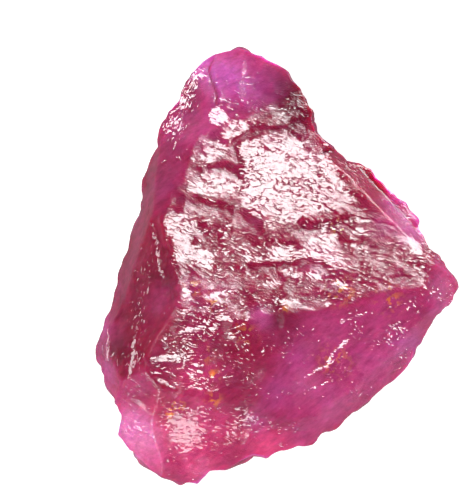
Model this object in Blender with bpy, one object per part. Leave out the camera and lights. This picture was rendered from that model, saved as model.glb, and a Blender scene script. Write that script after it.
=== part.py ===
"""A raw ruby crystal: one rough, cleaved stone that lies on its flat parting face.

The row frame is in metres with +Z up. The origin is at the middle of the stone's footprint, on the surface
that it rests on. +Y runs along the stone's length to its narrow neck, +X to its right-hand corner, and the
wrinkled show face looks up.

The stone is worked in millimetres, the way a cleaver would do it, and turned into metres at the end: an
upright blank with the stone's outline, flat faces cleaved off above and below, notches split out of it,
then the ledges and chips of the broken surface raised on it.
"""

from dataclasses import dataclass

import bmesh
import bpy
import numpy as np
from mathutils import Vector

MM = 0.001  # one millimetre, in metres

# Driving dimensions, in millimetres. The faces below leave a summit that is about 11 high.
BLANK_HEIGHT = 14.0  # of the upright block that the faces are cleaved from
CUTTER_SIZE = 60.0  # of the cube that a notch's cutter is cleaved from
GRID = 0.6  # spacing of the vertices that the relief moves
FADE = 0.8  # height over the parting face up to which the relief grows from nothing

# The chips of the broken surface: their spacing along X, Y and Z, their depth and a key to their places.
LARGE_CHIPS = ((2.6, 2.6, 2.6), 0.3, 1.0)
SMALL_CHIPS = ((1.2, 0.89, 1.2), 0.16, 9.0)

# The outline seen from above, anticlockwise from the top of the neck, in millimetres.
OUTLINE = (
    (-2.55, 13.11), (-3.87, 12.81), (-4.65, 12.33), (-5.25, 11.67), (-5.67, 10.71), (-5.91, 10.23),
    (-6.69, 9.45), (-6.99, 8.37), (-7.29, 7.11), (-7.71, 6.15), (-8.01, 4.53), (-8.07, 3.51),
    (-8.85, 1.83), (-9.51, 0.03), (-9.93, -1.65), (-10.53, -3.39), (-10.87, -4.65), (-10.59, -5.97),
    (-10.41, -6.87), (-9.69, -7.95), (-9.39, -8.85), (-9.51, -9.93), (-8.85, -11.07), (-7.53, -12.15),
    (-6.09, -13.05), (-4.95, -13.11), (-4.17, -12.27), (-3.21, -12.09), (-2.25, -11.55), (-1.41, -11.25),
    (-0.57, -11.49), (0.33, -11.13), (1.95, -10.53), (2.91, -9.81), (4.35, -8.97), (5.97, -7.59),
    (7.83, -6.03), (8.37, -4.65), (8.85, -4.11), (9.39, -2.91), (10.23, -2.43), (10.87, -1.23),
    (10.53, -0.63), (9.93, -0.09), (9.75, 0.57), (9.03, 1.23), (8.85, 2.01), (7.77, 3.63),
    (6.33, 5.07), (5.55, 5.91), (4.17, 6.39), (2.97, 7.41), (2.19, 8.07), (1.89, 8.67),
    (1.95, 9.45), (1.35, 10.89), (0.33, 11.97), (-1.05, 12.87),
)


@dataclass(frozen=True)
class Face:
    """A flat face through a point, and how far it rises for each millimetre towards +X and +Y."""

    at: tuple
    rise: tuple

    def upward(self):
        """The unit normal on the face's upper side."""
        return Vector((-self.rise[0], -self.rise[1], 1.0)).normalized()

    def downward(self):
        """The unit normal on the face's lower side."""
        return -self.upward()


# Faces on top of the stone.
UPPER_FACES = {
    "show": Face((0.33, -3.09, 9.6), (-0.26, -0.25)),
    "lower_right": Face((0.33, -3.09, 9.6), (-0.40, 0.38)),
    "lower_left": Face((0.33, -3.09, 9.6), (-0.18, 0.30)),
    "bottom": Face((-7.65, -8.07, 9.35), (-0.16, 0.75)),
    "bottom_edge": Face((-1.65, -8.8, 8.3), (-0.37, 0.92)),
    "bottom_corner": Face((-8.0, -9.5, 7.8), (0.60, 0.75)),
    "left_flank": Face((-6.6, 1.0, 10.38), (0.80, -0.12)),
    "neck_flank": Face((-5.07, 6.93, 8.5), (0.60, -0.64)),
    "neck": Face((-1.35, 9.3, 6.95), (-0.08, -0.62)),
    "right_corner": Face((9.5, -1.0, 6.2), (-0.95, 0.15)),
    "lower_right_edge": Face((5.6, -7.0, 5.6), (-0.80, 0.90)),
    "left_edge": Face((-10.1, -4.5, 8.24), (2.4, 0.25)),
    "flank_edge": Face((-8.9, 1.6, 7.1), (2.29, -0.72)),
    "right_edge": Face((8.0, -4.4, 5.7), (-1.2, 1.0)),
}

# Faces under the stone, which rise outwards from the parting face that it rests on.
UNDER_FACES = {
    "under_neck": Face((-1.5, 8.0, 0.0), (-0.05, 0.55)),
    "under_shelf": Face((3.75, 5.25, 0.0), (1.15, 1.15)),
    "under_corner": Face((7.3, 0.0, 0.0), (0.92, -0.19)),
    "under_lower_right": Face((4.5, -5.25, 0.0), (0.72, -0.69)),
    "under_bottom": Face((-1.0, -8.75, 0.0), (0.28, -1.38)),
    "under_tip": Face((-5.75, -8.75, 0.0), (-0.29, -0.69)),
    "under_flank": Face((-7.9, -5.0, 0.0), (-1.7, -0.17)),
    "under_neck_flank": Face((-6.5, 2.0, 0.0), (-2.3, 0.7)),
}

# A notch takes what lies above all of its faces: a floor, a wall and the ends.
NOTCHES = {
    "shelf": (
        Face((7.0, 4.0, 4.1), (-0.1, -0.12)),
        Face((6.45, 3.21, 6.4), (-2.1, -2.1)),
        Face((3.2, 6.9, 5.0), (-4.0, 4.0)),
    ),
}


@dataclass(frozen=True)
class Ledge:
    """A step along a line seen from above, higher on the left of the way that it runs, in millimetres."""

    step: float
    line: tuple
    edge: float = 0.16
    reach: float = 1.2


LEDGES = (
    Ledge(0.75, ((-7.85, 3.97), (-6.05, 3.97), (-5.35, 3.97), (-4.25, 3.69), (-3.05, 3.23), (-1.45, 2.63))),
    Ledge(0.45, ((-2.65, 7.13), (-2.55, 7.53), (-1.75, 7.93), (-0.85, 8.23), (-0.05, 8.23), (0.75, 7.83))),
    Ledge(0.5, ((-3.05, -0.27), (-1.45, 0.13), (0.75, 0.43), (2.35, 0.53), (3.45, -0.07))),
    Ledge(0.4, ((1.05, 2.93), (1.95, 2.53), (3.05, 2.63), (4.55, 3.13))),
    Ledge(0.8, ((-7.55, 3.13), (-7.05, 2.13), (-6.55, 0.73), (-6.35, -0.67), (-5.85, -3.27))),
    Ledge(0.4, ((-4.95, -1.07), (-4.85, -1.67), (-4.45, -2.17), (-2.65, -2.47))),
)


def blank():
    """The upright block with the stone's outline, as a bmesh."""
    block = bmesh.new()
    foot = block.faces.new([block.verts.new((x, y, 0.0)) for x, y in OUTLINE])
    made = bmesh.ops.extrude_face_region(block, geom=[foot])
    top = [v for v in made["geom"] if isinstance(v, bmesh.types.BMVert)]
    bmesh.ops.translate(block, verts=top, vec=(0.0, 0.0, BLANK_HEIGHT))
    bmesh.ops.recalc_face_normals(block, faces=block.faces)
    return block


def cleave(block, at, facing):
    """Splits off what lies beyond a plane, on the side that it faces, and closes the cut."""
    geometry = block.verts[:] + block.edges[:] + block.faces[:]
    cut = bmesh.ops.bisect_plane(
        block, geom=geometry, dist=1e-5, plane_co=at, plane_no=facing, clear_outer=True
    )["geom_cut"]
    rim = [e for e in cut if isinstance(e, bmesh.types.BMEdge) and e.is_boundary]
    bmesh.ops.holes_fill(block, edges=rim)


def object_of(name, block):
    """A new object that holds the bmesh, which is freed."""
    mesh = bpy.data.meshes.new(name)
    block.to_mesh(mesh)
    block.free()
    made = bpy.data.objects.new(name, mesh)
    bpy.context.scene.collection.objects.link(made)
    return made


def notch_cutter(name, faces):
    """The convex block that a notch takes out of the stone."""
    block = bmesh.new()
    bmesh.ops.create_cube(block, size=CUTTER_SIZE)
    for face in faces:
        cleave(block, face.at, face.downward())
    cutter = object_of(name, block)
    cutter.hide_render = True
    cutter.display_type = "WIRE"
    return cutter


def cut(target, cutter):
    """Takes the cutter out of the target, exactly, and drops the cutter."""
    split = target.modifiers.new("notch", "BOOLEAN")
    split.operation = "DIFFERENCE"
    split.solver = "EXACT"
    split.object = cutter
    bpy.context.view_layer.update()
    done = bpy.data.meshes.new_from_object(target.evaluated_get(bpy.context.evaluated_depsgraph_get()))
    target.modifiers.clear()
    target.data = done
    bpy.data.objects.remove(cutter)


def refine(block):
    """Draws a square net over the stone, so that the relief has vertices to move, and leaves triangles."""
    for axis in range(3):
        facing = Vector([float(i == axis) for i in range(3)])
        reach = max(abs(v.co[axis]) for v in block.verts)
        for line in np.arange(-reach, reach, GRID):
            above = [f for f in block.faces if max(v.co.z for v in f.verts) > 1e-4]
            net = {e for f in above for e in f.edges}
            ends = {v for e in net for v in e.verts}
            bmesh.ops.bisect_plane(
                block, geom=[*ends, *net, *above], dist=1e-5, plane_co=facing * line, plane_no=facing
            )
    bmesh.ops.remove_doubles(block, verts=[v for v in block.verts if v.co.z > 0.2], dist=GRID / 6.0)
    bmesh.ops.triangulate(block, faces=block.faces)


def hashed(lattice, key):
    """Three even numbers between 0 and 1 for each lattice point, the same on every run."""
    mix = np.array(((127.1, 269.5, 113.5), (311.7, 183.3, 271.9), (74.7, 246.1, 124.6)))
    return np.mod(np.sin(lattice @ mix + key) * 43758.5453, 1.0)


def chips(points, spacing, depth, key):
    """Little flat facets that lean every way: a point belongs to the nearest seed of a jittered lattice."""
    cell = points / spacing
    home = np.floor(cell)
    nearest = np.full(len(cell), np.inf)
    lean = np.zeros(len(cell))
    for step in np.ndindex(3, 3, 3):
        lattice = home + np.array(step) - 1.0
        offset = cell - lattice - hashed(lattice, key)
        gap = (offset**2).sum(axis=1)
        tilt = (offset * (2.0 * hashed(lattice, key + 5.0) - 1.0)).sum(axis=1)
        lean = np.where(gap < nearest, tilt, lean)
        nearest = np.minimum(gap, nearest)
    return depth * lean


def ledge_rise(ledge, points):
    """A ledge's part of the relief: a sharp step at its line that dies away to both sides and at its ends."""
    line = np.array(ledge.line)
    nearest = np.full(len(points), np.inf)
    side = np.zeros(len(points))
    along = np.zeros(len(points))
    for number, (start, end) in enumerate(zip(line[:-1], line[1:])):
        run = end - start
        offset = points[:, :2] - start
        share = np.clip(offset @ run / (run @ run), 0.0, 1.0)
        gap = np.linalg.norm(offset - share[:, None] * run, axis=1)
        left = np.sign(run[0] * offset[:, 1] - run[1] * offset[:, 0])
        near = gap < nearest
        side = np.where(near, left * gap, side)
        along = np.where(near, (number + share) / (len(line) - 1), along)
        nearest = np.minimum(gap, nearest)
    taper = np.clip(6.0 * along * (1.0 - along), 0.0, 1.0)
    return 0.5 * ledge.step * taper * np.tanh(side / ledge.edge) * np.exp(-nearest / ledge.reach)


def relief(points, normals):
    """How far each point stands out of its flat face, in millimetres: nothing on the parting face."""
    rise = chips(points, *LARGE_CHIPS) + chips(points, *SMALL_CHIPS)
    skyward = np.clip(3.0 * normals[:, 2] - 0.6, 0.0, 1.0)
    for ledge in LEDGES:
        rise += skyward * ledge_rise(ledge, points)
    return rise * np.clip(points[:, 2] / FADE, 0.0, 1.0)


def roughen(mesh):
    """Raises the relief along the vertex normals and sets the stone's middle over the origin, in metres."""
    points = np.empty(3 * len(mesh.vertices))
    normals = np.empty_like(points)
    mesh.vertices.foreach_get("co", points)
    mesh.vertex_normals.foreach_get("vector", normals)
    points, normals = points.reshape(-1, 3), normals.reshape(-1, 3)
    points = points + normals * relief(points, normals)[:, None]
    middle = (points.min(axis=0) + points.max(axis=0)) / 2.0
    points -= (middle[0], middle[1], 0.0)
    mesh.vertices.foreach_set("co", (points * MM).ravel())
    mesh.update()


def ruby():
    """Deep red corundum with a glassy skin."""
    material = bpy.data.materials.new("ruby")
    material.use_nodes = True
    shader = material.node_tree.nodes["Principled BSDF"]
    shader.inputs["Base Color"].default_value = (0.42, 0.03, 0.12, 1.0)
    shader.inputs["Roughness"].default_value = 0.14
    shader.inputs["IOR"].default_value = 1.77
    material.diffuse_color = (0.42, 0.03, 0.12, 1.0)
    return material


def main():
    """Makes the stone."""
    for old in list(bpy.data.objects):
        bpy.data.objects.remove(old)
    block = blank()
    for face in UPPER_FACES.values():
        cleave(block, face.at, face.upward())
    for face in UNDER_FACES.values():
        cleave(block, face.at, face.downward())
    stone = object_of("ruby_crystal", block)
    for name, faces in NOTCHES.items():
        cut(stone, notch_cutter(name, faces))
    block = bmesh.new()
    block.from_mesh(stone.data)
    refine(block)
    block.to_mesh(stone.data)
    block.free()
    roughen(stone.data)
    stone.data.materials.clear()
    stone.data.materials.append(ruby())


main()
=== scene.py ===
"""Dresses the raw ruby crystal and sets it in a plain pale studio.

The stone is one broken, cleaved piece. Its form is worked in millimetres, from flat faces that close on each
other, and roughened by chips, scoops and ledges before it is turned into metres. The little flats on its
skin, its treads, lie along two planes of the crystal, so those of one plane shine together.
"""

import logging
import math
from dataclasses import dataclass
from enum import Enum, IntEnum

import bpy
import numpy as np
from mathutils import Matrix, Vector


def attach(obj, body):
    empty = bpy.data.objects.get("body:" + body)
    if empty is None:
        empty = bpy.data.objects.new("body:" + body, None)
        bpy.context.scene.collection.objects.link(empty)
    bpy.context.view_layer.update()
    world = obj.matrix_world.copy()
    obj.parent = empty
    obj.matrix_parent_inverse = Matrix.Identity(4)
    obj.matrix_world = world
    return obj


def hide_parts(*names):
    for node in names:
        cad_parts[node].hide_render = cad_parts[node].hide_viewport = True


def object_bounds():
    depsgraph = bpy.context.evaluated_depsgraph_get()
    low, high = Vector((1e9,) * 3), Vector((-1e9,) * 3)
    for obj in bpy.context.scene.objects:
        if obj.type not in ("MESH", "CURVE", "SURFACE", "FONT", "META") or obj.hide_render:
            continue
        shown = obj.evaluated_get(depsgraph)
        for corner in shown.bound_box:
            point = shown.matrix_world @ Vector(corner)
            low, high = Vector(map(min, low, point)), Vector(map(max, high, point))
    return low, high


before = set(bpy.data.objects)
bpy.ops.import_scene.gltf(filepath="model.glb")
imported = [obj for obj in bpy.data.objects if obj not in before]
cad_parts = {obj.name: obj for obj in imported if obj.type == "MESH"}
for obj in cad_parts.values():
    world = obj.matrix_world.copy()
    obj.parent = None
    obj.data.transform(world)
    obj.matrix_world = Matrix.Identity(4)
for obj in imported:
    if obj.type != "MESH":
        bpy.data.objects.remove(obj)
CAD_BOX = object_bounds()

MM = 0.001
TINY = 1e-9
WHITE = (1.0, 1.0, 1.0)
CRYSTAL_PLANE = "crystal_plane"
LOG = logging.getLogger("ruby")

# The grain of the skin, in degrees from +X: across most faces, and along those that stand upright.
ACROSS = -14.0
UPRIGHT = 73.0

Array = np.ndarray
Point2 = tuple[float, float]
Point3 = tuple[float, float, float]
Colour = tuple[float, float, float]
Socket = bpy.types.NodeSocket


# Noise -----------------------------------------------------------------------------------------------

HASH_MIX = np.array(((127.1, 269.5, 113.5), (311.7, 183.3, 271.9), (74.7, 246.1, 124.6)))
HASH_GAIN = 43758.5453
LEAN_KEY = 5.0
BOWL_LEAN = 0.35
BOWL_LEVEL = 0.1


def hashed(lattice: Array, key: float) -> Array:
    """Gives three even numbers between 0 and 1 for each lattice point, the same on every run.

    Formula: the fraction left when a large sine of the point's mixed coordinates is cut to whole numbers.

    Args:
        lattice: Whole-numbered points, one per row.
        key: Picks one pattern among many.

    Returns:
        One row of three numbers for each point.
    """
    return np.mod(np.sin(lattice @ HASH_MIX + key) * HASH_GAIN, 1.0)


def drift(points: Array, size: float, key: float) -> Array:
    """Gives three smooth noises, each between -1 and 1.

    Formula: random values at the corners of cubes of the given size, blended along each axis with 3t²-2t³.

    Args:
        points: Places in millimetres, one per row.
        size: The cube's side, in millimetres.
        key: Picks one pattern among many.

    Returns:
        One row of three numbers for each point.
    """
    cell = points / size
    home = np.floor(cell)
    share = cell - home
    share = share * share * (3.0 - 2.0 * share)
    total = np.zeros((len(points), 3))
    for corner in np.ndindex(2, 2, 2):
        weight = np.where(np.array(corner) == 1, share, 1.0 - share).prod(axis=1)
        total += weight[:, None] * hashed(home + np.array(corner), key)
    return 2.0 * total - 1.0


@dataclass(frozen=True)
class Push:
    """A smooth noise that pushes places about: its size, how far it pushes, in millimetres, and a key."""

    size: float
    far: float
    key: float

    def shift(self, points: Array) -> Array:
        """Gives how far each place is pushed along each axis: the smooth noise there, times how far."""
        return self.far * drift(points, self.size, self.key)


def fractures(points: Array, size: float, key: float, sharp: float) -> tuple[Array, Array]:
    """Gives the relief of two kinds of breakage round the seeds of one jittered lattice.

    Formula: each cube holds one seed at a random place, with a random lean. Chips are the leans' slopes away
    from the seeds, each weighed by exp(-sharp times the squared distance), so they are flat with quick bends
    between them. Scoops are the lowest of the bowls that stand on the seeds, half the squared distance plus a
    share of the lean, so they are hollows with ridges between them.

    Args:
        points: Places in millimetres, one per row.
        size: The cube's side, in millimetres.
        key: Picks one pattern among many.
        sharp: How quickly one chip gives way to the next.

    Returns:
        The chips and the scoops, each about -0.5 to 0.5 in units of the size.
    """
    cell = points / size
    home = np.floor(cell)
    bowl = np.full(len(cell), np.inf)
    chip = np.zeros(len(cell))
    share = np.full(len(cell), TINY)
    for step in np.ndindex(3, 3, 3):
        lattice = home + np.array(step) - 1.0
        offset = cell - lattice - hashed(lattice, key)
        gap = (offset**2).sum(axis=1)
        lean = (offset * (2.0 * hashed(lattice, key + LEAN_KEY) - 1.0)).sum(axis=1)
        weight = np.exp(-sharp * gap)
        chip += weight * lean
        share += weight
        bowl = np.minimum(bowl, 0.5 * gap + BOWL_LEAN * lean)
    return chip / share, bowl - BOWL_LEVEL


def on_plan(x: Array, y: Array) -> Array:
    """Gives the plan's places as points at no height, one per row."""
    return np.column_stack((x, y, 0.0 * x))


def turned(x: Array, y: Array, degrees: float) -> tuple[Array, Array]:
    """Gives how far places lie along and across a line that is turned from +X."""
    turn = math.radians(degrees)
    return x * math.cos(turn) + y * math.sin(turn), y * math.cos(turn) - x * math.sin(turn)


# The stone's form ------------------------------------------------------------------------------------


class Kind(IntEnum):
    """What a face's skin is like, each a column of the kinds that the form gives."""

    BROKEN = 0
    VIOLET = 1
    UPRIGHT = 2
    FORWARD = 3


@dataclass(frozen=True)
class Face:
    """A flat face through a point, in millimetres, and its rise for each millimetre towards +X and +Y.

    Its skin is more or less broken and violet, and its grain runs across the stone or, upright, along it. Its
    treads lie along the crystal's far plane or, forward, along its near one.
    """

    at: Point3
    rise: Point2
    broken: float = 0.5
    violet: float = 0.5
    upright: float = 0.0
    forward: float = 0.0

    def height(self, x: Array, y: Array) -> Array:
        """Gives the face's height over each place of the plan: a plane's linear rise from its point."""
        return self.at[2] + self.rise[0] * (x - self.at[0]) + self.rise[1] * (y - self.at[1])


def heights_of(faces: tuple[Face, ...], x: Array, y: Array) -> Array:
    """Gives the heights of several faces over the plan's places, one row for each face."""
    return np.stack([face.height(x, y) for face in faces])


@dataclass(frozen=True)
class StoneForm:
    """The stone's flat faces, closed on each other, over the plan of its outline, in millimetres.

    The top's faces are rounded where they meet, and their kinds change over a length of their own. The nicks
    in the outline fade towards its middle by a power of how far out they are.
    """

    middle: Point2 = (-1.0, -1.0)
    rounding: float = 0.05
    change: float = 0.12
    nicks: tuple[Push, ...] = (Push(1.1, 0.14, 41.0), Push(0.5, 0.07, 43.0))
    nick_power: int = 8
    outline: tuple[Point2, ...] = (
        (-2.55, 13.11), (-3.87, 12.81), (-4.65, 12.33), (-5.25, 11.67), (-5.67, 10.71), (-5.91, 10.23),
        (-6.69, 9.45), (-6.99, 8.37), (-7.29, 7.11), (-7.71, 6.15), (-8.01, 4.53), (-8.07, 3.51),
        (-8.85, 1.83), (-9.51, 0.03), (-9.93, -1.65), (-10.53, -3.39), (-10.87, -4.65), (-10.59, -5.97),
        (-10.41, -6.87), (-9.69, -7.95), (-9.39, -8.85), (-9.51, -9.93), (-8.85, -11.07), (-7.53, -12.15),
        (-6.09, -13.05), (-4.95, -13.11), (-4.17, -12.27), (-3.21, -12.09), (-2.25, -11.55), (-1.41, -11.25),
        (-0.57, -11.49), (0.33, -11.13), (1.95, -10.53), (2.91, -9.81), (4.35, -8.97), (5.97, -7.59),
        (7.83, -6.03), (8.37, -4.65), (8.85, -4.11), (9.39, -2.91), (10.23, -2.43), (10.87, -1.23),
        (10.53, -0.63), (9.93, -0.09), (9.75, 0.57), (9.03, 1.23), (8.85, 2.01), (7.77, 3.63),
        (6.33, 5.07), (5.55, 5.91), (4.17, 6.39), (2.97, 7.41), (2.19, 8.07), (1.89, 8.67),
        (1.95, 9.45), (1.35, 10.89), (0.33, 11.97), (-1.05, 12.87),
    )
    upper: tuple[Face, ...] = (
        Face((0.33, -3.09, 9.6), (-0.26, -0.25), broken=1.0, violet=0.05),
        Face((0.33, -3.09, 9.6), (-0.40, 0.38), broken=0.25, violet=0.8),
        Face((0.33, -3.09, 9.6), (-0.18, 0.30), broken=0.8, violet=0.15),
        Face((-7.65, -8.07, 9.35), (-0.16, 0.75), broken=0.7, violet=0.4, forward=1.0),
        Face((-1.65, -8.8, 8.3), (-0.37, 0.92), broken=0.5, violet=0.6, forward=1.0),
        Face((-8.0, -9.5, 7.8), (0.60, 0.75), broken=0.3, violet=0.8, forward=1.0),
        Face((-6.6, 1.0, 10.38), (0.80, -0.12), broken=0.35, violet=0.1, upright=1.0, forward=1.0),
        Face((-5.07, 6.93, 8.5), (0.60, -0.64), broken=0.5, violet=0.45, upright=1.0),
        Face((-1.35, 9.3, 6.95), (-0.08, -0.62), broken=0.35, violet=0.9),
        Face((9.5, -1.0, 6.2), (-0.95, 0.15), broken=0.6, violet=0.5),
        Face((5.6, -7.0, 5.6), (-0.80, 0.90), broken=0.5, violet=0.8),
        Face((-10.1, -4.5, 8.24), (2.4, 0.25), broken=0.3, violet=0.6, upright=1.0, forward=1.0),
        Face((-8.9, 1.6, 7.1), (2.29, -0.72), broken=0.3, violet=0.3, upright=1.0, forward=1.0),
        Face((8.0, -4.4, 5.7), (-1.2, 1.0), broken=0.5, violet=0.8),
    )
    shelf: tuple[Face, ...] = (
        Face((7.0, 4.0, 4.1), (-0.1, -0.12)),
        Face((6.45, 3.21, 6.4), (-2.1, -2.1)),
        Face((3.2, 6.9, 5.0), (-4.0, 4.0)),
    )
    under: tuple[Face, ...] = (
        Face((-1.5, 8.0, 0.0), (-0.05, 0.55)),
        Face((3.75, 5.25, 0.0), (1.15, 1.15)),
        Face((7.3, 0.0, 0.0), (0.92, -0.19)),
        Face((4.5, -5.25, 0.0), (0.72, -0.69)),
        Face((-1.0, -8.75, 0.0), (0.28, -1.38)),
        Face((-5.75, -8.75, 0.0), (-0.29, -0.69)),
        Face((-7.9, -5.0, 0.0), (-1.7, -0.17)),
        Face((-6.5, 2.0, 0.0), (-2.3, 0.7)),
    )

    def reach(self, angle: Array) -> Array:
        """Gives how far the outline is from the middle, as a ray cut by the outline's side.

        Args:
            angle: The way of each ray, in radians from +X.

        Returns:
            The length of each ray, in millimetres.
        """
        corners = np.array(self.outline) - self.middle
        bearing = np.arctan2(corners[:, 1], corners[:, 0])
        order = np.argsort(bearing)
        corners, bearing = corners[order], bearing[order]
        after = np.searchsorted(bearing, angle) % len(corners)
        start, end = corners[after - 1], corners[after]
        side = end - start
        across = start[:, 0] * side[:, 1] - start[:, 1] * side[:, 0]
        return across / (np.cos(angle) * side[:, 1] - np.sin(angle) * side[:, 0])

    def plan(self, cells: int) -> tuple[Array, Array]:
        """Lays a square grid over the outline's inside.

        Formula: the square's rings become circles, side by side with the square's quarters, and each circle
        is stretched to the outline's distance along its angle. The outermost rings are nicked by smooth
        noises.

        Args:
            cells: How many cells the grid has each way.

        Returns:
            The coordinates of its points, in millimetres, each as one long row.
        """
        line = np.linspace(-1.0, 1.0, cells + 1)
        across, along = (grid.ravel() for grid in np.meshgrid(line, line, indexing="ij"))
        wide = np.abs(across) > np.abs(along)
        ring = np.where(wide, across, along)
        safe = np.where(np.abs(ring) < TINY, 1.0, ring)
        eighth = 0.25 * np.pi
        turn = np.where(wide, eighth * along / safe, 2.0 * eighth - eighth * across / safe)
        x, y = ring * np.cos(turn), ring * np.sin(turn)
        stretch = self.reach(np.arctan2(y, x))
        place = on_plan(x * stretch, y * stretch) + (*self.middle, 0.0)
        nicks = sum(nick.shift(place)[:, :2] for nick in self.nicks)
        place[:, :2] += np.abs(ring)[:, None] ** self.nick_power * nicks
        return place[:, 0], place[:, 1]

    def top(self, x: Array, y: Array) -> Array:
        """Gives the height of the stone's top: the lowest of its upper faces, less the shelf's notch.

        Formula: minus the rounding times the logarithm of the sum of exp(-height / rounding), a lowest height
        with slightly rounded edges, and then no higher than the highest face of the notch.

        Args:
            x: The places of the plan.
            y: The same places' other coordinate.

        Returns:
            The height at each place, in millimetres.
        """
        heights = heights_of(self.upper, x, y) / self.rounding
        least = heights.min(axis=0)
        roof = self.rounding * (least - np.log(np.exp(least - heights).sum(axis=0)))
        return np.minimum(roof, heights_of(self.shelf, x, y).max(axis=0))

    def character(self, x: Array, y: Array) -> Array:
        """Gives how broken, violet, upright in grain and forward in its treads the top is.

        Formula: the mean over the upper faces, each weighed by exp(-its height over the lowest / change).

        Args:
            x: The places of the plan.
            y: The same places' other coordinate.

        Returns:
            One row for each place, with a column for each kind.
        """
        heights = heights_of(self.upper, x, y)
        weight = np.exp((heights.min(axis=0) - heights) / self.change)
        kinds = np.array([(face.broken, face.violet, face.upright, face.forward) for face in self.upper])
        return weight.T @ kinds / weight.sum(axis=0)[:, None]

    def bottom(self, x: Array, y: Array) -> Array:
        """Gives the height of the stone's underside: the highest of its under faces and the parting face."""
        return np.maximum(heights_of(self.under, x, y).max(axis=0), 0.0)


# The broken skin -------------------------------------------------------------------------------------


@dataclass(frozen=True)
class Zone:
    """A part of the top, inside an outline on the plan in millimetres, that cleaved in a way of its own.

    Treads are the little flats that follow the crystal's planes. A zone has more or fewer of them than the
    face round it, and may sink below that face. It gives way to that face over its rim.
    """

    outline: tuple[Point2, ...]
    treads: float = 0.9
    sink: float = 0.0
    rim: float = 0.3

    def cover(self, x: Array, y: Array) -> Array:
        """Gives the zone's share of each place.

        Formula: a half plus the distance to the outline over the rim's width, where the distance is positive
        inside, that is where a ray towards +X crosses the outline an odd number of times.

        Args:
            x: The places of the plan.
            y: The same places' other coordinate.

        Returns:
            A share from 0 to 1 for each place.
        """
        nearest = np.full(x.shape, np.inf)
        inside = np.zeros(x.shape, dtype=bool)
        corners = np.array(self.outline)
        for start, end in zip(corners, np.roll(corners, -1, axis=0)):
            run = end - start
            off_x, off_y = x - start[0], y - start[1]
            share = np.clip((off_x * run[0] + off_y * run[1]) / (run @ run), 0.0, 1.0)
            nearest = np.minimum(nearest, np.hypot(off_x - share * run[0], off_y - share * run[1]))
            if run[1] != 0.0:
                between = (start[1] > y) != (end[1] > y)
                inside ^= between & (x < start[0] + off_y * run[0] / run[1])
        return np.clip(0.5 + np.where(inside, nearest, -nearest) / self.rim, 0.0, 1.0)


@dataclass(frozen=True)
class Tread:
    """A long, narrow part of the top, an oval on the plan in millimetres, with its own share of treads."""

    x: float
    y: float
    length: float
    width: float
    turn: float
    treads: float = 1.0
    sink: float = 0.0
    rim: float = 0.15

    def cover(self, x: Array, y: Array) -> Array:
        """Gives the oval's share of each place.

        Formula: a half plus the distance to the oval over the rim's width, where the distance is half the
        width times one less the root of the squared offsets, each over its half length.

        Args:
            x: The places of the plan.
            y: The same places' other coordinate.

        Returns:
            A share from 0 to 1 for each place.
        """
        along, across = turned(x - self.x, y - self.y, self.turn)
        out = np.hypot(2.0 * along / self.length, 2.0 * across / self.width)
        return np.clip(0.5 + 0.5 * self.width * (1.0 - out) / self.rim, 0.0, 1.0)


@dataclass(frozen=True)
class Ledge:
    """A step along a line of the plan, higher on the left of the way that it runs, in millimetres.

    It rises over its edge to either side of the line, and dies away over its reach and, by its taper,
    towards its ends.
    """

    step: float
    line: tuple[Point2, ...]
    edge: float = 0.25
    reach: float = 1.2
    taper: float = 6.0

    def rise(self, points: Array) -> Array:
        """Gives the ledge's relief.

        Formula: half the step times the signed distance to the line over the edge's width, held between -1
        and 1, dying away as an exponential of the distance and towards both ends of the line.

        Args:
            points: Places in millimetres, one per row.

        Returns:
            The relief at each place, in millimetres.
        """
        line = np.array(self.line)
        nearest = np.full(len(points), np.inf)
        side = np.zeros(len(points))
        along = np.zeros(len(points))
        for number, (start, end) in enumerate(zip(line[:-1], line[1:])):
            run = end - start
            offset = points[:, :2] - start
            share = np.clip(offset @ run / (run @ run), 0.0, 1.0)
            gap = np.linalg.norm(offset - share[:, None] * run, axis=1)
            left = np.sign(run[0] * offset[:, 1] - run[1] * offset[:, 0])
            near = gap < nearest
            side = np.where(near, left * gap, side)
            along = np.where(near, (number + share) / (len(line) - 1), along)
            nearest = np.minimum(gap, nearest)
        ends = np.clip(self.taper * along * (1.0 - along), 0.0, 1.0)
        return 0.5 * self.step * ends * np.clip(side / self.edge, -1.0, 1.0) * np.exp(-nearest / self.reach)


@dataclass(frozen=True)
class Patch:
    """A round patch of the plan, in millimetres, where the stone's colour or skin changes by a share."""

    x: float
    y: float
    radius: float
    share: float

    def cover(self, points: Array) -> Array:
        """Gives the patch's share at each place: a bell as wide as its radius round its middle."""
        offset = points[:, :2] - np.array((self.x, self.y))
        return self.share * np.exp(-((offset**2).sum(axis=1)) / self.radius**2)


@dataclass(frozen=True)
class Breakage:
    """One size of broken relief: its cell, its chips' and scoops' depth, and how its grain is drawn out."""

    size: float
    chips: float
    scoops: float
    key: float
    stretch: Point3 = (1.0, 1.0, 1.0)
    grain: float = 0.0
    sharp: float = 16.0

    def rise(self, points: Array) -> Array:
        """Gives this size's relief: the chips and scoops of the places, turned by the grain and stretched.

        Args:
            points: Places in millimetres, one per row.

        Returns:
            The relief at each place, in millimetres.
        """
        along, across = turned(points[:, 0], points[:, 1], self.grain)
        laid = np.column_stack((along, across, points[:, 2])) * self.stretch
        chip, scoop = fractures(laid, self.size, self.key, self.sharp)
        return self.chips * chip + self.scoops * scoop


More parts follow.
